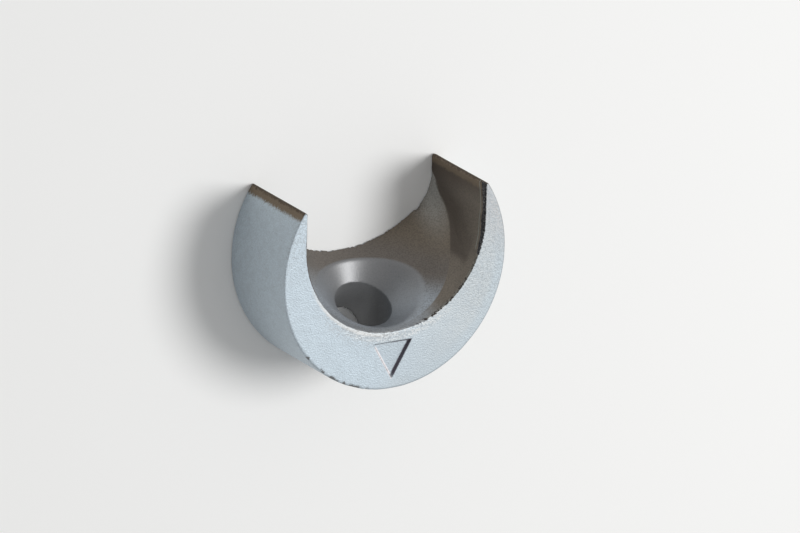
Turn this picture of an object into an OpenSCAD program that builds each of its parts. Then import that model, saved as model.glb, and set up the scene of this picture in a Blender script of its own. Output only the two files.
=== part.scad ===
// Angled washer for a timber screw driven at 30 degrees to the surface.
// A round, zinc-plated casting that drops into a flat-bottomed drilled pocket. Its U-shaped
// recess opens on one side, and a hollow sloping seat inside it squares up to the screw.
//
// Frame: the origin is on the disc's axis, on its base. +Z runs from the base to the face,
// and -Y is the way the mark points: the way the screw goes in. All sizes are in millimetres.

/* [Disc] */
// Diameter of the disc
disc_d = 48; // [46:0.5:54]
// Height of the disc
disc_h = 19.5; // [18:0.5:24]
// Radius of the rounded outer edges
edge_round = 0.4; // [0.2:0.1:0.6]

/* [Recess] */
// Width of the U-shaped recess between the two arms
recess_w = 38.5; // [34:0.5:41]
// Width of the crescent face where it is widest
crescent_w = 11.1; // [10.5:0.1:13]
// Width left on each arm's end, between the recess and the outer wall
arm_end_w = 0.65; // [0.4:0.05:1.2]
// Chamfer on the inner corner of each arm's end
arm_chamfer = 0.35; // [0.2:0.05:0.5]

/* [Seat] */
// Slope of the seat, up from the base
seat_slope = 60; // [55:1:64]
// Radius of the seat's hollow, across the slope
seat_hollow_r = 28; // [24:0.5:40]
// Radius between the seat and the arms' walls
seat_fillet_r = 6.5; // [4:0.5:8]
// Height of the step from the face down to the top of the seat
seat_step = 1.3; // [0.8:0.1:2]

/* [Screw hole] */
// Diameter of the hole
hole_d = 11; // [9:0.5:13]
// Diameter of the countersink, measured at the seat's centre line
sink_d = 17; // [14:0.5:18]
// Full angle of the countersink
sink_angle = 90; // [80:5:100]
// Height of the hole's centre above the base, on the seat
hole_h = 10; // [9:0.25:11]

/* [Direction mark] */
// Side of the triangular mark
mark_side = 8; // [6:0.5:9]
// Depth of the mark
mark_depth = 0.75; // [0.3:0.05:1]
// Space between the recess and the mark
mark_gap = 2; // [1:0.1:2.5]

/* [Hidden] */

$fn = 128;
ZINC = [0.76, 0.80, 0.83];
CUT = 1;                                  // how far each cutting shape runs past the metal

disc_r = disc_d / 2;
recess_r = recess_w / 2;
reach = disc_d + disc_h;                  // longer than any cut needs to be

// The recess: a round end of radius recess_r, then straight walls out to the arms' ends.
recess_end_y = crescent_w - disc_r;
recess_axis_y = recess_end_y + recess_r;
arm_end_y = sqrt(pow(disc_r, 2) - pow(recess_r + arm_end_w, 2));

// The seat's centre line lies in the plane X = 0 and meets the recess's end wall at the step.
seat_foot_y = recess_end_y + (disc_h - seat_step) / tan(seat_slope);
seat_lean = 90 - seat_slope;              // from +Y up to the screw's axis

// Section of the hollow, in its own plane: the fillet's centre, and where it meets the hollow.
fillet_x = recess_r - seat_fillet_r;
fillet_y = seat_hollow_r - sqrt(pow(seat_hollow_r - seat_fillet_r, 2) - pow(fillet_x, 2));
fillet_start_x = fillet_x * seat_hollow_r / (seat_hollow_r - seat_fillet_r);

// The screw's axis crosses the seat's centre line here.
hole_y = seat_foot_y - hole_h / tan(seat_slope);
sink_depth = (sink_d - hole_d) / 2 / tan(sink_angle / 2);

mark_r = mark_side / sqrt(3);             // the triangle's centre to its corners
mark_y = recess_end_y - mark_gap - mark_r / 2;

// Plain disc with both outer edges rounded.
module disc() {
    rotate_extrude() {
        square([disc_r - edge_round, disc_h]);
        translate([0, edge_round])
            square([disc_r, disc_h - 2 * edge_round]);
        for (corner_z = [edge_round, disc_h - edge_round])
            translate([disc_r - edge_round, corner_z])
                circle(edge_round);
    }
}

// Upright U that the recess fills in plan, from below the base to above the face.
module recess_plan() {
    translate([0, recess_axis_y, -CUT])
        linear_extrude(disc_h + 2 * CUT) {
            circle(recess_r);
            translate([-recess_r, 0])
                square([recess_w, reach]);
        }
}

// Section across the slope: open above the hollow, with a fillet up to each wall.
module seat_section() {
    intersection() {
        translate([0, seat_hollow_r])
            circle(seat_hollow_r);
        translate([-fillet_start_x, -CUT])
            square([2 * fillet_start_x, seat_hollow_r]);
    }
    for (side = [-1, 1])
        translate([side * fillet_x, fillet_y])
            circle(seat_fillet_r);
    translate([-recess_r, fillet_y])
        square([recess_w, reach]);
}

// Everything above the sloping seat.
module above_seat() {
    translate([0, seat_foot_y, 0])
        rotate([seat_lean, 0, 0])
            translate([0, 0, -reach])
                linear_extrude(2 * reach)
                    seat_section();
}

// The recess stops at the seat, so its floor is the hollow and its sides are upright walls.
module recess() {
    intersection() {
        recess_plan();
        above_seat();
    }
}

// Cuts the arms off square and chamfers the inner corner of each end.
module arm_ends() {
    translate([0, arm_end_y, -CUT])
        linear_extrude(disc_h + 2 * CUT) {
            translate([-reach / 2, 0])
                square([reach, reach]);
            for (side = [0, 1])
                mirror([side, 0])
                    translate([recess_r, 0])
                        corner_cut(arm_chamfer);
        }
}

// Cuts a corner of metal at the origin that fills +X, -Y. It runs on past the metal both ways.
module corner_cut(size) {
    polygon([[-CUT, -size - CUT], [size + CUT, CUT], [-CUT, CUT]]);
}

// Screw hole, square to the seat, with a countersink for the head. The countersink goes on up
// to the height that the hollow would reach at the walls, so that it clears the hollow's sides.
module screw_hole() {
    sink_grow = tan(sink_angle / 2);
    sink_top = seat_hollow_r - sqrt(pow(seat_hollow_r, 2) - pow(recess_r, 2));
    translate([0, hole_y, hole_h])
        rotate([-seat_slope, 0, 0]) {
            translate([0, 0, -reach])
                cylinder(h = reach, d = hole_d);
            translate([0, 0, -sink_depth])
                cylinder(h = sink_depth + sink_top, r1 = hole_d / 2,
                         r2 = sink_d / 2 + sink_top * sink_grow);
        }
}

// Sunk triangle that points the way the screw goes in.
module direction_mark() {
    translate([0, mark_y, disc_h - mark_depth])
        rotate([0, 0, -90])
            cylinder(h = mark_depth + CUT, r = mark_r, $fn = 3);
}

module washer() {
    color(ZINC)
        difference() {
            disc();
            recess();
            arm_ends();
            screw_hole();
            direction_mark();
        }
}

washer();
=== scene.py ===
import itertools
import math

import bpy
import numpy as np
from mathutils import Matrix, Vector


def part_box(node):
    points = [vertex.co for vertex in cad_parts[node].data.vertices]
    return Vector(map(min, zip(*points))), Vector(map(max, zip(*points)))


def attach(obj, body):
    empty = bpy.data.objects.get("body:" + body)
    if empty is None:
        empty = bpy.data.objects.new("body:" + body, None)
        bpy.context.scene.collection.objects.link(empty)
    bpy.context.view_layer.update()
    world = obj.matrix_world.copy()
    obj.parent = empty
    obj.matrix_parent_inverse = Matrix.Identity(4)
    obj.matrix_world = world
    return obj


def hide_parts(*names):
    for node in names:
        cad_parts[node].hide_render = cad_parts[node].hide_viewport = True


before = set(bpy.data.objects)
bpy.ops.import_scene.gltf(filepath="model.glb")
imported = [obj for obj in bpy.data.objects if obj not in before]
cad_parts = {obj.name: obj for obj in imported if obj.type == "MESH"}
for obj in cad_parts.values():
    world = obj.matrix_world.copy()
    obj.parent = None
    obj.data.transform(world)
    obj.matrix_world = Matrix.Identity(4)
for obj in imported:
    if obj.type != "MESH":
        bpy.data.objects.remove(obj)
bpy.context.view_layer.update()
node_low, node_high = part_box("washer")

# The washer's finished surface is one closed mesh, drawn through a field of signed distances.
# The shape and its material are in millimetres, in the CAD's own frame: the origin on the disc's
# axis at its base, +Z up to the face, -Y the way the mark points. The mesh itself, the floor, the
# camera and the lamp are in Blender's metres.
MM = 0.001

# Driving dimensions, as in the CAD
DISC_R = node_high.x / MM
DISC_H = node_high.z / MM
ARM_END_Y = node_high.y / MM
EDGE_ROUND = 0.4
RECESS_R = 38.5 / 2
CRESCENT_W = 11.1
SEAT_SLOPE = math.radians(60)
SEAT_HOLLOW_R = 28
SEAT_FILLET_R = 6.5
SEAT_STEP = 1.3
HOLE_R = 11 / 2
SINK_R = 17 / 2
SINK_HALF_ANGLE = math.radians(90 / 2)
HOLE_H = 10
MARK_SIDE = 8
MARK_DEPTH = 0.75
MARK_GAP = 2

# Worked out from those
RECESS_END_Y = CRESCENT_W - DISC_R
RECESS_AXIS_Y = RECESS_END_Y + RECESS_R
SEAT_FOOT_Y = RECESS_END_Y + (DISC_H - SEAT_STEP) / math.tan(SEAT_SLOPE)
HOLE_Y = SEAT_FOOT_Y - HOLE_H / math.tan(SEAT_SLOPE)
SINK_TOP = SEAT_HOLLOW_R - math.sqrt(SEAT_HOLLOW_R ** 2 - RECESS_R ** 2)
MARK_IN_R = MARK_SIDE / math.sqrt(12)
MARK_TOP_Y = RECESS_END_Y - MARK_GAP
MARK_Y = MARK_TOP_Y - MARK_IN_R
FILLET_X = RECESS_R - SEAT_FILLET_R
FILLET_FALL = math.sqrt((SEAT_HOLLOW_R - SEAT_FILLET_R) ** 2 - FILLET_X ** 2)
FILLET_OVER = SEAT_HOLLOW_R - FILLET_FALL

# How round the casting's edges and corners are
TOP_EDGE_R = 0.15
FOOT_EDGE_R = 0.02
FOOT_EDGE_Z = (1, 4)          # between these heights the radius goes from the foot's to the top's
SEAT_CORNER_R = (0.12, 1.5)   # at the arms, and at the recess's round end
SEAT_CORNER_Y = (-4, 3)       # the round end's corner turns into the arms' between these Y
ARM_CORNER_R = 0.5
HOLE_EDGE_R = 0.35
MARK_EDGE_R = 0.08

# The casting's unevenness. Only the recess's top edge strays both ways: all the rest is cut into
# the CAD's shape, and none of it stands out.
WAVE_DEPTH = 0.015
WAVE_SIZE = 4
FACE_SINK = 0.08              # the face lies this much under the highest burrs
EDGE_SWAY = 0.08              # how far the recess's top edge strays
EDGE_SWAY_SIZE = 0.9
EDGE_SWAY_DEEP = 1.2          # how far down the wall the sway dies out
FOOT_SWAY = 0.12              # how far the seat's foot strays
FOOT_SWAY_SIZE = 1.3
FOOT_SWAY_NOISE = (0, 0.9)    # between these values of its noise it goes from none to all
FOOT_SWAY_X = (14, 18)        # it dies out between these distances from the middle
FOOT_SWAY_H = 1               # and up to this height
FOOT_NICK_X = 16.3            # where the foot is nicked, how deep and how wide to each side
FOOT_NICK_DEPTH = 0.45
FOOT_NICK_SIDE = (0.1, 0.9)
RUFF_SIZE = 0.45              # size of the burrs and of the strip's roughness

# Where the burrs are along the recess's top edge, in millimetres from the middle of its round
# end towards the right arm
BURR_START = -20
BURR_FULL = (-12, 3)
BURR_END = 11
BURR_WIDTH = 1.2
BURR_DEEP = (1, 0.5)          # how far under the face they start, and where they are full
BURR_NOISE = (-0.4, 0.5)      # between these values of the noise they rise to their full height

# The nicks in the outer edge. They lie between two turns about the disc's axis, in degrees
# from +X, and fade in and out over the third.
NICK_TURNS = (-150, -95)
NICK_FADE = 8
NICK_DEPTH = 0.2
NICK_SIZE = 0.8
NICK_NOISE = (-0.1, 0.6)
NICK_REACH = (0.15, 0.6)      # how far from the edge they are full, and where they end

# The rough strip along the top of the right arm's inner wall: its height at each of these Y
STRIP_Y = (-0.6, -0.3, 1.2, 3.6, 5.6, 8.6, 11.1, 12.9)
STRIP_HEIGHT = (-0.5, 0.8, 1.0, 1.2, 1.45, 1.0, 1.3, 1.7)
STRIP_CUT = 0.05
STRIP_ROUGH = 0.04

# The dark soft line of painted shade that climbs the right arm's wall from the seat's crease
WALL_LINE_FOOT = (17.7, -1.25, 11.5)
WALL_LINE_TOP = (17.24, -2.2, 15.9)

CELL = 0.3                    # spacing of the field's samples
MARGIN = 3                    # empty cells left round the washer
SETTLE_STEPS = 4              # times that each vertex is moved onto the surface
SETTLE_REACH = CELL / 20      # how far to each side the slope is taken for that
NORMAL_REACH = CELL / 2       # and for the normals, which smooths them
LEAST_STEEP = 0.25            # the square of the least slope that a move is worked out from
LATTICE = 64                  # random values along each side of a noise block
RUFF_SEED, EDGE_SEED, WAVE_SEED, FOOT_SEED, NICK_SEED = 1, 2, 3, 4, 5
EDGE_ZONE = 0.6               # nearer to the recess, what is under the edge is down its wall

# The material. Colours are linear. A pair of numbers says where a tint starts and where it is
# full, in millimetres or in the value of a noise. Where a SOFT goes with it, the tint lies
# between the two, and SOFT is how far it fades at both. A SHARE says how strong a tint gets.
# FINE, COARSE, RAGGED, MOTTLE and CLOUD are noises: changes to a millimetre, detail, roughness.
FINE = (3.4, 2, 0.7)
COARSE = (1.7, 2, 0.6)
RAGGED = (1.8, 3, 0.7)
RAGGED_W = 0.9                # the most that its values differ by

# The face. REACH is X + Y, which grows towards the right arm's tip. It is duller on the right of
# the mark's point.
FACE_LEFT = (0.580, 0.668, 0.732, 1)
FACE_RIGHT = (0.562, 0.600, 0.614, 1)
FACE_RIGHT_X = (-6, 20)
FACE_RIM = (0.552, 0.618, 0.655, 1)
FACE_RIM_IN = (3, 1)          # from the outer edge
FACE_RIM_X = (-4, 4)
FACE_TIP = (0.528, 0.532, 0.532, 1)
FACE_TIP_REACH = (18, 30)
# Used for specks, and also as painted shade on the mark's floor
FACE_SPECK_AND_SHADE = (0.440, 0.500, 0.545, 1)
DULL_X = (-6, 2)
DULL_Y = (-12, -19)
DULL_SHARE = 0.3
SAND_NOISE = (0.62, 0.38)
SAND_SHARE = 0.5
FACE_BLOTCH = (0.340, 0.370, 0.390, 1)
BLOTCH_REACH = (0, 14)
BLOTCH_Y = (-6, 10)
BLOTCH_Z = (DISC_H - 1.2, DISC_H - 0.2)
BLOTCH_NOISE = (0.54, 0.40)
BLOTCH_SHARE = 0.42
MOTTLE = (0.7, 3, 0.65)
MOTTLE_NOISE = (0.56, 0.36)
MOTTLE_SHARE = 0.28
FACE_SMUDGE = (0.420, 0.420, 0.420, 1)
SMUDGE_OUT = (4, 0.8)
SMUDGE_ALONG = (-20, 6)
SMUDGE_SOFT = 8
SMUDGE_NOISE = (0.60, 0.40)
SMUDGE_SHARE = 0.4

# The seat. LEVEL is the height with clouds in it, and it falls away to the right.
CLOUD = (0.22, 3, 0.5)
CLOUD_H = 3
LEVEL_FALL = -0.05            # times X squared, on the right
# The seat darkens and browns as LEVEL falls: painted shade and a painted brown reflection.
SEAT_LOW = (0.225, 0.187, 0.143, 1)
SEAT_MID = (0.198, 0.176, 0.156, 1)
SEAT_MID_LEVEL = (-6, 2)
SEAT_HIGH = (0.430, 0.475, 0.525, 1)
SEAT_HIGH_LEVEL = (3, 12)
SEAT_ARM = (0.440, 0.435, 0.410, 1)
SEAT_ARM_X = (14, 19.5)
SEAT_ARM_Z = (11, 1)
# Painted shade on the seat's foot on the left
SEAT_PAINTED_SHADE = (0.050, 0.060, 0.055, 1)
SEAT_DUSK_X = (-5, -14)
SEAT_DUSK_Z = (10, 2)
SEAT_DUSK_SHARE = 0.35

# The recess's walls, darkened with painted shade and browned with a painted reflection. The seat's
# colours give way to theirs at the crease. The tongue is a painted shadow, a darker patch that
# hangs down the right arm's wall.
WALL_START = (-0.22, -0.08)
WALL_START_SHIFT = -0.25      # at the crease's low end it lies this much further up the wall
WALL_START_Z = (4, 0)
WALL_LOW = (0.160, 0.133, 0.108, 1)
WALL_HIGH = (0.238, 0.206, 0.168, 1)
WALL_HIGH_Z = (5, 18)
# Painted shade on the right arm's wall: in the crease, in the tongue and along the dark line
WALL_PAINTED_SHADE = (0.085, 0.066, 0.052, 1)
CREASE_Y = (-3, 0)
CREASE_UP = (2, 0)
CREASE_SHARE = 0.5
# The tongue: a painted shadow
TONGUE_FRONT_Y = (-2.7, -1.6)
TONGUE_BACK_Y = (4, -1.5)
TONGUE_Z = (17.4, 16)
TONGUE_SHARE = 0.42
WALL_LINE_REACH = (1.3, 0.2)
WALL_LINE_SHARE = 0.4
# Painted shade at the far end of the right arm's wall
WALL_END_Y = (8, 13)
WALL_END_SHARE = 0.75
WALL_LEFT_X = (12, 6)         # they turn bluish towards the left
WALL_LEFT_SHARE = 0.8
RECESS_SPECK = (0.080, 0.072, 0.062, 1)
RECESS_SPECK_NOISE = (0.42, 0.62)
RECESS_SPECK_SHARE = 0.35

# Where the recess's look takes over from the face's, by distance from the recess and from the
# hole, and the hole's own tint
RECESS_EDGE = (0.2, 0.08)
HOLE_EDGE = (0.6, 0.4)
HOLE_GREY = (0.360, 0.385, 0.415, 1)
HOLE_GREY_OUT = (0.35, 0.1)
HOLE_GREY_SHARE = 0.5

# The arms' ends, below the face: a brown band, a painted brown reflection, and painted shade in
# dark brown on the very end. The outer edge's nicks turn the same dark brown, by how deep they
# are.
END_Z = (DISC_H - 0.15, DISC_H - 0.3)
END_RAGGED = 1.5
END_BROWN = (0.195, 0.150, 0.102, 1)
END_BROWN_Y = (ARM_END_Y - 1.9, ARM_END_Y - 1.1)
DARK_BROWN = (0.070, 0.046, 0.028, 1)
END_SHADE_Y = (ARM_END_Y - 0.6, ARM_END_Y)
NICK_DARKENING = (0.1, 0.35)
NICK_DARKENING_SHARE = 0.7

# The recess's top edge. ALONG runs along it as for the burrs, OUT goes out across the face.
EDGE_RAGGED = 0.6
# A line of painted shade along the left arm's inner edge
EDGE_SHADE_LINE = (0.150, 0.115, 0.100, 1)
EDGE_LINE_ALONG = (-18, -22)
EDGE_LINE_OUT = (-0.2, 0.2)
EDGE_LINE_SOFT = 0.1
BURR = (0.700, 0.705, 0.695, 1)
LIP_ALONG = (-24, 2)
LIP_ALONG_SOFT = 7
LIP_OUT = (-0.1, 0.9)
LIP_OUT_SOFT = 0.35
LIP_SHARE = 0.7
FLAKE_ALONG = (-13, 15)
FLAKE_ALONG_SOFT = 6
FLAKE_OUT = (-0.5, 2.1)
FLAKE_OUT_SOFT = 0.8
FLAKE_SHARE = 0.6
FLAKE_NOISE = (0.46, 0.56)
BURR_PIT = (0.300, 0.270, 0.250, 1)
BURR_PIT_NOISE = (0.46, 0.36)
BURR_PIT_SHARE = 0.45
GLINT_ALONG = (4, 26)
GLINT_ALONG_SOFT = 5
GLINT_OUT = (-0.5, 0.1)
GLINT_OUT_SOFT = 0.2
GLINT_SHARE = 0.35
SPECK = (0.060, 0.050, 0.044, 1)
SPECK_ALONG = (3, 25)
SPECK_ALONG_SOFT = 5
SPECK_OUT = (-0.5, 0.3)
SPECK_OUT_SOFT = 0.15
SPECK_NOISE = (0.51, 0.44)

# The mark. OUT is the distance out of its outline, below 0 inside it. Painted shade darkens its
# right wall, the edge along its top and its floor, and a painted highlight lights its left edge.
MARK_Z = (DISC_H - 2, DISC_H - 1.5)
# Painted shade on the mark's right wall and along its top
MARK_SHADE = (0.150, 0.135, 0.165, 1)
MARK_SHADE_X = (0, 0.5)
MARK_SHADE_OUT = (-0.32, 0.16)
MARK_TOP_SHADE_Y = (MARK_TOP_Y - 0.3, MARK_TOP_Y - 0.1)
MARK_TOP_SHADE_OUT = (-0.12, 0.12)
MARK_TOP_SHADE_SHARE = 0.6
MARK_SHADE_SOFT = 0.08
MARK_FLOOR_OUT = (-0.1, -0.3)
MARK_FLOOR_SHARE = 0.35
# A painted highlight on the mark's left edge
MARK_HIGHLIGHT = (0.760, 0.735, 0.750, 1)
MARK_PALE_X = (0.2, -0.2)
MARK_PALE_Y = (MARK_TOP_Y - 0.2, MARK_TOP_Y - 0.9)
MARK_PALE_OUT = (-0.45, 0.32)
MARK_PALE_SOFT = 0.14

# The rough strip, and the pale line under it, a painted highlight
STRIP_RAGGED = 0.6
STRIP_WALL_RAGGED = 0.9
STRIP_WALL = (0.35, 0.2)      # distance from the recess where the strip's colours take over
# A painted highlight: the strip's pale line, and the glint along the right arm's edge
STRIP_LIP_HIGHLIGHT = (0.330, 0.350, 0.310, 1)
STRIP_LIP_H = (-0.8, -0.42)
STRIP_LIP_SOFT = 0.12
STRIP_LIP_Y = (-0.2, 1)
STRIP_LIP_SHARE = 0.7
STRIP_DARK = (0.030, 0.030, 0.034, 1)
STRIP_FLECK = (0.300, 0.300, 0.290, 1)
STRIP_FLECK_NOISE = (0.54, 0.66)
STRIP_INSIDE = (0, 0.1)

# The metal's gloss and its grain, first outside the recess and then in it
METALLIC = 0.5
ROUGHNESS = (0.55, 0.45)
GRAIN = (1.0, 0.3)
GRAIN_DEPTH = 0.12
GRAIN_STRENGTH = 0.7

# The floor as light meets it, and as it is looked at or mirrored. Sizes are in metres.
FLOOR_BOUNCE = (0.6, 0.6, 0.6, 1)
FLOOR_SEEN = (0.94, 0.94, 0.93, 1)
FLOOR_ROUGHNESS = 0.9
FLOOR_SIZE = 6
FLOOR_DROP = 0.00002          # below the washer's base

# The surround, and a round lamp. Its size and place are in metres, and its power in watts.
WORLD_COLOUR = (1, 1, 1, 1)
WORLD_STRENGTH = 0.4
LAMP_SIZE = 0.5
LAMP_POWER = 7
LAMP_PLACE = (0.55, 0.1, 0.9)

# The camera, worked out from the photo: a long lens far off, and rolled.
CAMERA_RIGHT = Vector((0.85527, 0.02984, 0.51733))
CAMERA_UP = Vector((0.14501, 0.94468, -0.29421))
CAMERA_DISTANCE = 3.5         # metres
SENSOR_W = 36                 # millimetres
PHOTO_W, PHOTO_H = 800, 533
PIXELS_PER_MM = 5.3853
FACE_CENTRE_PIXEL = (395.42, 266.83)    # where the middle of the disc's face is seen


def smooth_noise(x, y, z, size, seed):
    """Values from -1 to 1 that change over about size millimetres."""
    values = np.random.default_rng(seed).uniform(-1, 1, (LATTICE,) * 3)
    cells, shares = [], []
    for along in (x, y, z):
        cell = np.floor(along / size).astype(int)
        t = along / size - cell
        cells.append(cell)
        shares.append(t * t * (3 - 2 * t))
    total = 0
    for corner in itertools.product((0, 1), repeat=3):
        weight = 1
        for share, far in zip(shares, corner):
            weight = weight * (share if far else 1 - share)
        picked = tuple((cell + far) % LATTICE for cell, far in zip(cells, corner))
        total = total + weight * values[picked]
    return total


def ease(value, low, high):
    """0 up to low, 1 from high on, and a smooth rise between them."""
    t = np.clip((value - low) / (high - low), 0, 1)
    return t * t * (3 - 2 * t)


def both(a, b, radius):
    """What two shapes share, with the edge between them rounded."""
    corner = np.hypot(np.maximum(radius + a, 0), np.maximum(radius + b, 0))
    return np.minimum(-radius, np.maximum(a, b)) + corner


def disc(x, y, z):
    """Plain disc with both outer edges rounded, negative inside it."""
    radial = np.hypot(x, y) - (DISC_R - EDGE_ROUND)
    axial = np.abs(z - DISC_H / 2) - (DISC_H / 2 - EDGE_ROUND)
    outside = np.hypot(np.maximum(radial, 0), np.maximum(axial, 0))
    return np.minimum(np.maximum(radial, axial), 0) + outside - EDGE_ROUND


def recess_plan(x, y):
    """Upright U, negative inside it."""
    round_end = np.hypot(x, y - RECESS_AXIS_Y) - RECESS_R
    return np.where(y < RECESS_AXIS_Y, round_end, np.abs(x) - RECESS_R)


def height_over_seat(y, z):
    """Height over the plane of the seat's centre line, square to it."""
    return (y - SEAT_FOOT_Y) * math.sin(SEAT_SLOPE) + z * math.cos(SEAT_SLOPE)


def above_seat(x, y, z):
    """The space over the seat, negative inside it: the hollow, and a fillet up to each wall.

    Above the fillets it widens, so that there the recess is bounded by its walls alone.
    """
    over = height_over_seat(y, z)
    hollow = np.hypot(x, np.minimum(over - SEAT_HOLLOW_R, 0)) - SEAT_HOLLOW_R
    aside = np.maximum(np.abs(x) - FILLET_X, 0)
    fillet = np.hypot(aside, np.minimum(over - FILLET_OVER, 0)) - SEAT_FILLET_R
    clear = np.maximum(over - FILLET_OVER, 0)
    past_hollow = np.abs(x) * FILLET_FALL > FILLET_X * (SEAT_HOLLOW_R - over)
    return np.where(past_hollow, fillet - clear / 2, hollow)


def recess(x, y, z):
    """The space of the recess, negative inside it, with the crease round it rounded."""
    at_arms, at_end = SEAT_CORNER_R
    corner = at_end + (at_arms - at_end) * ease(y, *SEAT_CORNER_Y)
    return both(recess_plan(x, y), above_seat(x, y, z), corner)


def recess_cut(x, y, z):
    """The recess with the sway of its top edge and of its foot, and the nick in its foot."""
    top = smooth_noise(x, y, z, EDGE_SWAY_SIZE, EDGE_SEED)
    top = top * ease(z, DISC_H - EDGE_SWAY_DEEP, DISC_H)
    foot = FOOT_SWAY * ease(smooth_noise(x, y, z, FOOT_SWAY_SIZE, FOOT_SEED), *FOOT_SWAY_NOISE)
    foot = foot * (1 - ease(np.abs(x), *FOOT_SWAY_X))
    foot = foot + FOOT_NICK_DEPTH * (1 - ease(np.abs(x - FOOT_NICK_X), *FOOT_NICK_SIDE))
    return recess(x, y, z) - EDGE_SWAY * top - foot * ease(-z, -FOOT_SWAY_H, 0)


def along_edge(x, y):
    """Distance round the recess from the middle of its round end, towards the right arm."""
    turned = RECESS_R * np.arctan2(x, RECESS_AXIS_Y - y)
    straight = RECESS_R * math.pi / 2 + y - RECESS_AXIS_Y
    return np.where(y < RECESS_AXIS_Y, turned, np.sign(x) * straight)


def out_of_edge(x, y, z):
    """Distance from the recess's top edge: out across the face, or below 0 down the wall."""
    out = recess_plan(x, y)
    down = np.minimum(z - DISC_H + FACE_SINK + TOP_EDGE_R, 0)
    return np.where(out > EDGE_ZONE, np.hypot(out, down), np.maximum(out, 0) + down)


def strip_depth(x, y, z):
    """How far a point is up inside the rough strip. The left arm has none."""
    height = np.interp(y, STRIP_Y, STRIP_HEIGHT)
    return np.where(x > 0, z - (DISC_H - height), -DISC_R)


def burr_share(x, y, z):
    """1 where the recess's edge is burred, 0 away from it."""
    place = along_edge(x, y)
    along = ease(place, BURR_START, BURR_FULL[0]) * (1 - ease(place, BURR_FULL[1], BURR_END))
    across = 1 - ease(recess_plan(x, y), BURR_WIDTH / 3, BURR_WIDTH)
    start, full = BURR_DEEP
    return along * across * ease(z, DISC_H - start, DISC_H - full)


def from_rim(x, y, z):
    """Distance from the face's outer edge."""
    return np.hypot(np.hypot(x, y) - DISC_R, z - DISC_H)


def nick_share(x, y, z):
    """1 at the deepest nicks of the outer edge, 0 away from them."""
    turn = np.degrees(np.arctan2(y, x))
    start, end = NICK_TURNS
    along = ease(turn, start, start + NICK_FADE) * (1 - ease(turn, end - NICK_FADE, end))
    rim = 1 - ease(from_rim(x, y, z), *NICK_REACH)
    return along * rim * ease(smooth_noise(x, y, z, NICK_SIZE, NICK_SEED), *NICK_NOISE)


def hole(x, y, z):
    """Screw hole and countersink, negative inside them."""
    along = (y - HOLE_Y) * math.sin(SEAT_SLOPE) + (z - HOLE_H) * math.cos(SEAT_SLOPE)
    across = (z - HOLE_H) * math.sin(SEAT_SLOPE) - (y - HOLE_Y) * math.cos(SEAT_SLOPE)
    radial = np.hypot(x, across)
    grown = radial - SINK_R - along * math.tan(SINK_HALF_ANGLE)
    sink = np.maximum(grown * math.cos(SINK_HALF_ANGLE), along - SINK_TOP)
    bore = np.maximum(radial - HOLE_R, along - SINK_TOP)
    return np.minimum(sink, bore)


def mark_plan(x, y):
    """Triangle that points to -Y, negative inside it."""
    flat = y - MARK_TOP_Y
    slant = np.abs(x) * math.cos(math.pi / 6) - (y - MARK_Y) * math.sin(math.pi / 6) - MARK_IN_R
    return np.maximum(flat, slant)


def strip_cut(x, y, z, ruff):
    """The rough strip's shallow cut into the wall, positive outside the metal."""
    deep = STRIP_CUT + STRIP_ROUGH * ruff
    return np.minimum(strip_depth(x, y, z), deep - recess_plan(x, y))


def washer(x, y, z):
    """Signed distance of the finished casting, negative in the metal."""
    ruff = smooth_noise(x, y, z, RUFF_SIZE, RUFF_SEED)
    edge_r = FOOT_EDGE_R + (TOP_EDGE_R - FOOT_EDGE_R) * ease(z, *FOOT_EDGE_Z)
    walls = both(-recess_cut(x, y, z), y - ARM_END_Y, ARM_CORNER_R)
    metal = both(disc(x, y, z), walls, edge_r)
    metal = both(metal, -hole(x, y, z), HOLE_EDGE_R)
    metal = both(metal, -np.maximum(mark_plan(x, y), DISC_H - MARK_DEPTH - z), MARK_EDGE_R)
    face = z - DISC_H + FACE_SINK * (1 - burr_share(x, y, z) * ease(ruff, *BURR_NOISE))
    metal = both(metal, face, TOP_EDGE_R)
    metal = np.maximum(metal, strip_cut(x, y, z, ruff))
    wave = smooth_noise(x, y, z, WAVE_SIZE, WAVE_SEED)
    return metal + WAVE_DEPTH * (1 + wave) + NICK_DEPTH * nick_share(x, y, z)


def sample_field():
    """The field's values over the washer's box, with the box's first corner."""
    start = np.array(node_low) / MM - MARGIN * CELL
    ends = np.array(node_high) / MM + MARGIN * CELL
    sides = [np.arange(a, b, CELL) for a, b in zip(start, ends)]
    return washer(*np.meshgrid(*sides, indexing="ij")), start


def corner_view(values, corner):
    """The values at one corner of every cell."""
    return values[tuple(slice(far, far + n - 1) for far, n in zip(corner, values.shape))]


def net_points(values):
    """One point in each cell that the surface crosses: the mean of where it crosses the edges."""
    total = np.zeros(tuple(n - 1 for n in values.shape) + (3,))
    count = np.zeros(total.shape[:3])
    for corner in itertools.product((0, 1), repeat=3):
        for axis in range(3):
            if corner[axis]:
                continue
            other = tuple(1 if i == axis else far for i, far in enumerate(corner))
            a, b = corner_view(values, corner), corner_view(values, other)
            crossed = (a < 0) != (b < 0)
            share = np.where(crossed, a / np.where(crossed, a - b, 1), 0)
            for i in range(3):
                total[..., i] += crossed * (share if i == axis else corner[i])
            count += crossed
    cells = np.argwhere(count > 0)
    picked = tuple(cells.T)
    return cells, cells + total[picked] / count[picked][:, None]


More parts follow.
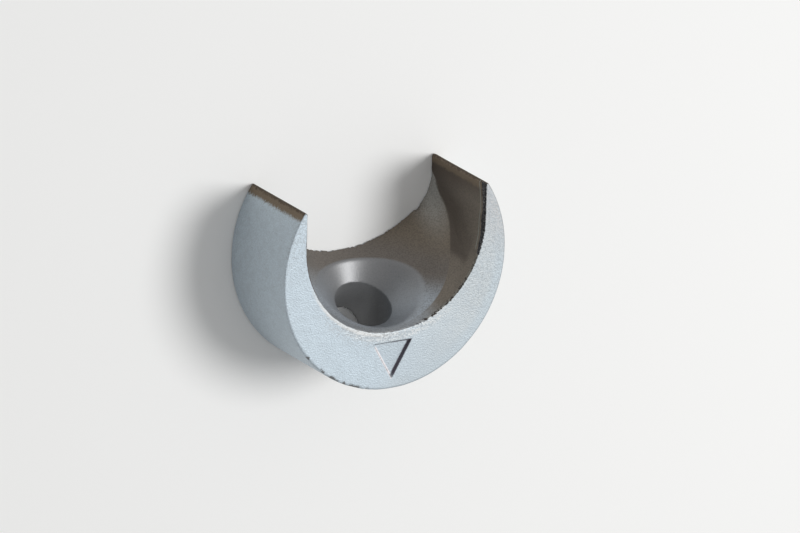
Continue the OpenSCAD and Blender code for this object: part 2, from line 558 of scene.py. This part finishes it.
def net_quads(values, cells):
    """A quad round each edge of the grid that the surface crosses, facing out of the metal."""
    number = np.full(tuple(n - 1 for n in values.shape), -1)
    number[tuple(cells.T)] = np.arange(len(cells))
    quads = []
    for axis in range(3):
        u, v = (axis + 1) % 3, (axis + 2) % 3
        inner = [slice(1, -1)] * 3
        inner[axis] = slice(0, -1)
        beyond = list(inner)
        beyond[axis] = slice(1, None)
        a, b = values[tuple(inner)], values[tuple(beyond)]
        for leaving in (True, False):
            found = np.argwhere((a < 0) & (b >= 0) if leaving else (a >= 0) & (b < 0))
            found += [0 if i == axis else 1 for i in range(3)]
            ring = []
            for back_u, back_v in ((1, 1), (0, 1), (0, 0), (1, 0)):
                cell = found.copy()
                cell[:, u] -= back_u
                cell[:, v] -= back_v
                ring.append(number[tuple(cell.T)])
            quads.append(np.stack(ring if leaving else ring[::-1], axis=1))
    return np.concatenate(quads)


def slope_of(points, reach):
    """The field's gradient at each point, taken over reach millimetres both ways."""
    sides = []
    for axis in range(3):
        ahead, behind = points.copy(), points.copy()
        ahead[:, axis] += reach
        behind[:, axis] -= reach
        sides.append((washer(*ahead.T) - washer(*behind.T)) / (2 * reach))
    return np.stack(sides, axis=1)


def settle(points):
    """Moves the points onto the surface itself."""
    for _ in range(SETTLE_STEPS):
        slope = slope_of(points, SETTLE_REACH)
        steep = np.maximum((slope ** 2).sum(1), LEAST_STEEP)
        move = -(washer(*points.T) / steep)[:, None] * slope
        points = points + np.clip(move, -CELL / 2, CELL / 2)
    return points


def from_line(points, start, end):
    """Distance from the straight line between two places."""
    start, line = np.array(start), np.subtract(end, start)
    share = np.clip((points - start) @ line / (line @ line), 0, 1)
    return np.linalg.norm(points - start - share[:, None] * line, axis=1)


def surface_values(points):
    """What the material needs to know at each vertex: distances in millimetres, and shares."""
    x, y, z = points.T
    return {
        "from_recess": recess_cut(x, y, z),
        "up_wall": recess_plan(x, y) - above_seat(x, y, z),
        "from_hole": hole(x, y, z),
        "strip": strip_depth(x, y, z),
        "along_edge": along_edge(x, y),
        "out_of_edge": out_of_edge(x, y, z),
        "from_mark": mark_plan(x, y),
        "from_rim": from_rim(x, y, z),
        "nick": nick_share(x, y, z),
        "from_line": from_line(points, WALL_LINE_FOOT, WALL_LINE_TOP),
    }


def normals_at(points):
    """The directions that the surface faces in at the points."""
    slope = slope_of(points, NORMAL_REACH)
    return slope / np.maximum(np.linalg.norm(slope, axis=1), 1e-6)[:, None]


def washer_mesh():
    """The casting's surface, kept inside the CAD's box, with what its material reads."""
    values, start = sample_field()
    cells, places = net_points(values)
    points = settle(start + places * CELL)
    points = np.clip(points, np.array(node_low) / MM, np.array(node_high) / MM)
    mesh = bpy.data.meshes.new("washer_casting")
    mesh.from_pydata((points * MM).tolist(), [], net_quads(values, cells).tolist())
    mesh.shade_smooth()
    mesh.normals_split_custom_set_from_vertices(normals_at(points).tolist())
    for name, value in surface_values(points).items():
        stored = mesh.attributes.new(name, "FLOAT", "POINT")
        stored.data.foreach_set("value", value.astype(np.float32))
    return mesh


def build_washer():
    mesh = washer_mesh()
    mesh.materials.append(zinc_material())
    piece = bpy.data.objects.new("washer_casting", mesh)
    bpy.context.scene.collection.objects.link(piece)
    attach(piece, "root")
    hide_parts("washer")


class Nodes:
    """The shader nodes of one material."""

    def __init__(self, name):
        self.material = bpy.data.materials.new(name)
        self.material.use_nodes = True
        self.tree = self.material.node_tree
        self.shader = self.tree.nodes["Principled BSDF"]

    def feed(self, node, socket, value):
        """Links a node's input to another node's output, or sets it to a plain value."""
        if isinstance(value, bpy.types.NodeSocket):
            self.tree.links.new(value, node.inputs[socket])
        else:
            node.inputs[socket].default_value = value

    def add(self, kind, inputs=None, **settings):
        """Adds a node with its settings, and feeds its inputs."""
        node = self.tree.nodes.new(kind)
        for name, value in settings.items():
            setattr(node, name, value)
        for socket, value in (inputs or {}).items():
            self.feed(node, socket, value)
        return node

    def calc(self, operation, a, b):
        """What a maths operation makes of two values."""
        return self.add("ShaderNodeMath", {0: a, 1: b}, operation=operation).outputs[0]

    def summed(self, *values):
        """The sum of several values."""
        total = values[0]
        for value in values[1:]:
            total = self.calc("ADD", total, value)
        return total

    def joined(self, *shares):
        """The product of several shares."""
        total = shares[0]
        for share in shares[1:]:
            total = self.calc("MULTIPLY", total, share)
        return total

    def fade(self, value, places):
        """0 at the first place, 1 at the second, and a smooth rise between them."""
        inputs = {0: value, 1: places[0], 2: places[1]}
        return self.add("ShaderNodeMapRange", inputs, interpolation_type="SMOOTHSTEP").outputs[0]

    def band(self, value, places, soft):
        """1 between the places, fading out to 0 over soft within both."""
        start, end = places
        rise = self.fade(value, (start, start + soft))
        return self.joined(rise, self.fade(value, (end, end - soft)))

    def between(self, share, a, b):
        """The number a where share is 0 and b where it is 1."""
        return self.add("ShaderNodeMix", {0: share, 2: a, 3: b}).outputs[0]

    def blend(self, share, a, b):
        """Colour a where share is 0 and b where it is 1."""
        return self.add("ShaderNodeMix", {0: share, 6: a, 7: b}, data_type="RGBA").outputs[2]

    def tinted(self, colour, tint, *shares):
        """The colour with a tint over it, as strong as the product of the shares."""
        return self.blend(self.joined(*shares), colour, tint)


class Skin(Nodes):
    """The casting's material, with what places its colours: positions, distances and noises."""

    def __init__(self, name):
        super().__init__(name)
        metres = self.add("ShaderNodeTexCoord").outputs["Object"]
        scaling = self.add("ShaderNodeVectorMath", {0: metres, "Scale": 1 / MM}, operation="SCALE")
        self.place = scaling.outputs[0]
        self.x, self.y, self.z = self.add("ShaderNodeSeparateXYZ", {0: self.place}).outputs
        self.fine = self.noise(*FINE)
        self.coarse = self.noise(*COARSE)
        self.ragged = self.centred(RAGGED, RAGGED_W)

    def read(self, name):
        """A value that surface_values stored in the mesh."""
        return self.add("ShaderNodeAttribute", attribute_name=name).outputs["Fac"]

    def noise(self, scale, detail, roughness):
        """Values round 0.5 that change scale times a millimetre."""
        inputs = {"Vector": self.place, "Scale": scale, "Detail": detail, "Roughness": roughness}
        return self.add("ShaderNodeTexNoise", inputs).outputs["Fac"]

    def centred(self, kind, size):
        """Noise of a kind, moved to lie round 0 and made size times as strong."""
        return self.joined(self.calc("SUBTRACT", self.noise(*kind), 0.5), size)

    def frayed(self, value, size):
        """A distance or place with size times the ragged noise in it."""
        return self.calc("ADD", value, self.joined(self.ragged, size))


def face_colour(skin):
    """Pale bluish zinc with a sandy grain, greyer towards the right arm and its tip."""
    reach = skin.calc("ADD", skin.x, skin.y)
    colour = skin.tinted(FACE_LEFT, FACE_RIGHT, skin.fade(skin.x, FACE_RIGHT_X))
    by_rim = skin.fade(skin.read("from_rim"), FACE_RIM_IN)
    colour = skin.tinted(colour, FACE_RIM, by_rim, skin.fade(skin.x, FACE_RIM_X))
    colour = skin.tinted(colour, FACE_TIP, skin.fade(reach, FACE_TIP_REACH))
    dull = skin.joined(skin.fade(skin.y, DULL_Y), skin.fade(skin.x, DULL_X))
    colour = skin.tinted(colour, FACE_SPECK_AND_SHADE, dull, DULL_SHARE)
    colour = skin.tinted(colour, FACE_SPECK_AND_SHADE, skin.fade(skin.fine, SAND_NOISE), SAND_SHARE)
    on_arms = skin.calc("MAXIMUM", skin.fade(reach, BLOTCH_REACH), skin.fade(skin.y, BLOTCH_Y))
    blotched = skin.joined(on_arms, skin.fade(skin.z, BLOTCH_Z))
    blotched = skin.joined(blotched, skin.fade(skin.coarse, BLOTCH_NOISE))
    colour = skin.tinted(colour, FACE_BLOTCH, blotched, BLOTCH_SHARE)
    mottled = skin.fade(skin.noise(*MOTTLE), MOTTLE_NOISE)
    colour = skin.tinted(colour, FACE_SPECK_AND_SHADE, mottled, MOTTLE_SHARE)
    near_edge = skin.joined(skin.fade(skin.read("out_of_edge"), SMUDGE_OUT),
                            skin.band(skin.read("along_edge"), SMUDGE_ALONG, SMUDGE_SOFT))
    smudged = skin.joined(near_edge, skin.fade(skin.coarse, SMUDGE_NOISE))
    return skin.tinted(colour, FACE_SMUDGE, smudged, SMUDGE_SHARE)


def seat_colour(skin, cloud):
    """Bluish high up, darker and browner low down with painted shade and a painted brown
    reflection, and greyer by the right arm.
    """
    right = skin.calc("MAXIMUM", skin.x, 0)
    level = skin.summed(skin.z, cloud, skin.joined(right, right, LEVEL_FALL))
    colour = skin.tinted(SEAT_LOW, SEAT_MID, skin.fade(level, SEAT_MID_LEVEL))
    colour = skin.tinted(colour, SEAT_HIGH, skin.fade(level, SEAT_HIGH_LEVEL))
    by_arm = skin.joined(skin.fade(skin.x, SEAT_ARM_X), skin.fade(skin.z, SEAT_ARM_Z))
    return skin.tinted(colour, SEAT_ARM, by_arm)


def wall_colour(skin, cloud, up_wall):
    """Brown on the right, a painted reflection, with painted shade low down, by the crease and at
    its arm's end, and a painted shadow down it. Bluish on the left.
    """
    height = skin.calc("ADD", skin.z, cloud)
    colour = skin.tinted(WALL_LOW, WALL_HIGH, skin.fade(height, WALL_HIGH_Z))
    # Painted shade in the crease
    crease = skin.joined(skin.fade(skin.y, CREASE_Y), skin.fade(up_wall, CREASE_UP))
    colour = skin.tinted(colour, WALL_PAINTED_SHADE, crease, CREASE_SHARE)
    # The tongue, a painted shadow
    tongue = skin.joined(skin.fade(skin.y, TONGUE_FRONT_Y), skin.fade(skin.y, TONGUE_BACK_Y),
                         skin.fade(skin.z, TONGUE_Z))
    colour = skin.tinted(colour, WALL_PAINTED_SHADE, tongue, TONGUE_SHARE)
    # The dark soft line, painted shade
    by_line = skin.fade(skin.read("from_line"), WALL_LINE_REACH)
    colour = skin.tinted(colour, WALL_PAINTED_SHADE, by_line, WALL_LINE_SHARE)
    # Painted shade at the far end of the wall
    colour = skin.tinted(colour, DARK_BROWN, skin.fade(skin.y, WALL_END_Y), WALL_END_SHARE)
    return skin.tinted(colour, SEAT_HIGH, skin.fade(skin.x, WALL_LEFT_X), WALL_LEFT_SHARE)


def recess_colour(skin):
    """Smoother metal than the face, and darker with painted shade and a painted brown reflection:
    the seat, the walls, and specks over both.
    """
    cloud = skin.centred(CLOUD, CLOUD_H)
    shift = skin.joined(skin.fade(skin.z, WALL_START_Z), WALL_START_SHIFT)
    up_wall = skin.calc("ADD", skin.read("up_wall"), shift)
    seat, wall = seat_colour(skin, cloud), wall_colour(skin, cloud, up_wall)
    colour = skin.blend(skin.fade(up_wall, WALL_START), seat, wall)
    # Painted shade on the seat's foot on the left
    left_foot = skin.joined(skin.fade(skin.x, SEAT_DUSK_X), skin.fade(skin.z, SEAT_DUSK_Z))
    colour = skin.tinted(colour, SEAT_PAINTED_SHADE, left_foot, SEAT_DUSK_SHARE)
    specked = skin.fade(skin.fine, RECESS_SPECK_NOISE)
    return skin.tinted(colour, RECESS_SPECK, specked, RECESS_SPECK_SHARE)


def ended_colour(skin, colour):
    """The arms' ends: a painted brown reflection, and painted shade on the very end."""
    end, off_face = skin.frayed(skin.y, END_RAGGED), skin.fade(skin.z, END_Z)
    colour = skin.tinted(colour, END_BROWN, skin.fade(end, END_BROWN_Y), off_face)
    return skin.tinted(colour, DARK_BROWN, skin.fade(end, END_SHADE_Y), off_face)


def burred_colour(skin, colour):
    """The recess's top edge: a line of painted shade on the left arm, burrs round the end, a
    painted glint and specks on the right.
    """
    along = skin.read("along_edge")
    clean_out = skin.read("out_of_edge")
    out = skin.frayed(clean_out, EDGE_RAGGED)

    # Painted shade along the left arm's edge
    line = skin.joined(skin.fade(along, EDGE_LINE_ALONG),
                       skin.band(clean_out, EDGE_LINE_OUT, EDGE_LINE_SOFT))
    colour = skin.tinted(colour, EDGE_SHADE_LINE, line)
    lip = skin.joined(skin.band(along, LIP_ALONG, LIP_ALONG_SOFT),
                      skin.band(out, LIP_OUT, LIP_OUT_SOFT))
    colour = skin.tinted(colour, BURR, lip, LIP_SHARE)

    flaky = skin.joined(skin.band(along, FLAKE_ALONG, FLAKE_ALONG_SOFT),
                        skin.band(out, FLAKE_OUT, FLAKE_OUT_SOFT), FLAKE_SHARE)
    colour = skin.tinted(colour, BURR, flaky, skin.fade(skin.coarse, FLAKE_NOISE))
    pitted = skin.joined(flaky, skin.fade(skin.coarse, BURR_PIT_NOISE))
    colour = skin.tinted(colour, BURR_PIT, pitted, BURR_PIT_SHARE)

    # A painted glint along the right arm's top edge
    glint = skin.joined(skin.band(along, GLINT_ALONG, GLINT_ALONG_SOFT),
                        skin.band(clean_out, GLINT_OUT, GLINT_OUT_SOFT))
    colour = skin.tinted(colour, STRIP_LIP_HIGHLIGHT, glint, GLINT_SHARE)
    specked = skin.joined(skin.band(along, SPECK_ALONG, SPECK_ALONG_SOFT),
                          skin.band(out, SPECK_OUT, SPECK_OUT_SOFT))
    return skin.tinted(colour, SPECK, specked, skin.fade(skin.coarse, SPECK_NOISE))


def marked_colour(skin, colour):
    """The mark's edges: painted shade on the right, along the top and on the floor, and a painted
    highlight on the left.
    """
    out, on_face = skin.read("from_mark"), skin.fade(skin.z, MARK_Z)
    right = skin.joined(skin.band(out, MARK_SHADE_OUT, MARK_SHADE_SOFT), on_face)
    colour = skin.tinted(colour, MARK_SHADE, right, skin.fade(skin.x, MARK_SHADE_X))
    top = skin.joined(skin.band(out, MARK_TOP_SHADE_OUT, MARK_SHADE_SOFT), on_face,
                      skin.fade(skin.y, MARK_TOP_SHADE_Y))
    colour = skin.tinted(colour, MARK_SHADE, top, MARK_TOP_SHADE_SHARE)
    # Painted shade on the mark's floor
    floor = skin.joined(skin.fade(out, MARK_FLOOR_OUT), on_face)
    colour = skin.tinted(colour, FACE_SPECK_AND_SHADE, floor, MARK_FLOOR_SHARE)
    # The painted highlight on the mark's left edge
    left = skin.joined(skin.fade(skin.x, MARK_PALE_X), skin.fade(skin.y, MARK_PALE_Y))
    pale = skin.joined(skin.band(out, MARK_PALE_OUT, MARK_PALE_SOFT), on_face)
    return skin.tinted(colour, MARK_HIGHLIGHT, pale, left)


def strip_colour(skin, colour):
    """The dark rough strip, with pale flecks in it and a thin pale line under it, a painted
    highlight.
    """
    clean_height = skin.read("strip")
    near_wall = skin.fade(skin.frayed(skin.read("from_recess"), STRIP_WALL_RAGGED), STRIP_WALL)
    # The pale line: a painted highlight on the ledge under the strip
    under = skin.joined(near_wall, skin.band(clean_height, STRIP_LIP_H, STRIP_LIP_SOFT),
                        skin.fade(skin.y, STRIP_LIP_Y))
    colour = skin.tinted(colour, STRIP_LIP_HIGHLIGHT, under, STRIP_LIP_SHARE)
    rubble = skin.tinted(STRIP_DARK, STRIP_FLECK, skin.fade(skin.fine, STRIP_FLECK_NOISE))
    inside = skin.fade(skin.frayed(clean_height, STRIP_RAGGED), STRIP_INSIDE)
    return skin.tinted(colour, rubble, near_wall, inside)


def zinc_colour(skin, in_recess, from_hole):
    """The whole casting's colour: each part's is laid over the ones before."""
    colour = skin.blend(in_recess, face_colour(skin), recess_colour(skin))
    colour = skin.tinted(colour, HOLE_GREY, skin.fade(from_hole, HOLE_GREY_OUT), HOLE_GREY_SHARE)
    colour = ended_colour(skin, colour)
    colour = burred_colour(skin, colour)
    colour = marked_colour(skin, colour)
    # The nicks turn dark brown by how deep they are
    nicked = skin.fade(skin.calc("ADD", skin.read("nick"), skin.ragged), NICK_DARKENING)
    colour = skin.tinted(colour, DARK_BROWN, nicked, NICK_DARKENING_SHARE)
    return strip_colour(skin, colour)


def zinc_material():
    """The plated metal, duller and sandier on the face than in the recess and the hole."""
    skin = Skin("zinc_plated_casting")
    from_hole = skin.read("from_hole")
    in_recess = skin.calc("MAXIMUM", skin.fade(skin.read("from_recess"), RECESS_EDGE),
                          skin.fade(from_hole, HOLE_EDGE))
    grain = skin.joined(skin.fine, skin.between(in_recess, *GRAIN))
    bump = skin.add("ShaderNodeBump", {"Strength": GRAIN_STRENGTH, "Distance": GRAIN_DEPTH * MM,
                                       "Height": grain})
    skin.feed(skin.shader, "Base Color", zinc_colour(skin, in_recess, from_hole))
    skin.feed(skin.shader, "Roughness", skin.between(in_recess, *ROUGHNESS))
    skin.feed(skin.shader, "Metallic", METALLIC)
    skin.feed(skin.shader, "Normal", bump.outputs[0])
    return skin.material


def floor_material():
    """Near white where it is looked at or mirrored, and pale where it only throws light back."""
    floor = Nodes("pale_floor")
    path = floor.add("ShaderNodeLightPath").outputs
    seen = floor.calc("MAXIMUM", path["Is Camera Ray"], path["Is Glossy Ray"])
    floor.feed(floor.shader, "Base Color", floor.blend(seen, FLOOR_BOUNCE, FLOOR_SEEN))
    floor.feed(floor.shader, "Roughness", FLOOR_ROUGHNESS)
    return floor.material


def build_floor():
    bpy.ops.mesh.primitive_plane_add(size=FLOOR_SIZE, location=(0, 0, -FLOOR_DROP))
    floor = bpy.context.object
    floor.name = "floor"
    floor.data.materials.append(floor_material())


def build_camera():
    """Shows the disc's face at the place, size and turn that it has in the photo."""
    back = CAMERA_RIGHT.cross(CAMERA_UP)
    aside = (PHOTO_W / 2 - FACE_CENTRE_PIXEL[0]) / PIXELS_PER_MM * MM
    above = (FACE_CENTRE_PIXEL[1] - PHOTO_H / 2) / PIXELS_PER_MM * MM
    aim = Vector((0, 0, DISC_H * MM)) + CAMERA_RIGHT * aside + CAMERA_UP * above
    data = bpy.data.cameras.new("camera")
    data.sensor_width = SENSOR_W
    data.lens = PIXELS_PER_MM / MM * CAMERA_DISTANCE * SENSOR_W / PHOTO_W
    camera = bpy.data.objects.new("camera", data)
    turn = Matrix((CAMERA_RIGHT, CAMERA_UP, back)).transposed()
    camera.matrix_world = Matrix.Translation(aim + back * CAMERA_DISTANCE) @ turn.to_4x4()
    bpy.context.scene.collection.objects.link(camera)
    bpy.context.scene.camera = camera


def add_lamp():
    """A round soft lamp that faces the washer."""
    data = bpy.data.lights.new("key", "AREA")
    data.shape = "DISK"
    data.size = LAMP_SIZE
    data.energy = LAMP_POWER
    lamp = bpy.data.objects.new("key", data)
    lamp.location = LAMP_PLACE
    lamp.rotation_euler = Vector(LAMP_PLACE).to_track_quat("Z", "Y").to_euler()
    bpy.context.scene.collection.objects.link(lamp)


def light_scene():
    """An even white surround, and one lamp."""
    world = bpy.data.worlds.new("studio")
    world.use_nodes = True
    background = world.node_tree.nodes["Background"]
    background.inputs["Color"].default_value = WORLD_COLOUR
    background.inputs["Strength"].default_value = WORLD_STRENGTH
    bpy.context.scene.world = world
    add_lamp()
    bpy.context.scene.view_settings.view_transform = "Standard"


build_washer()
build_floor()
build_camera()
light_scene()
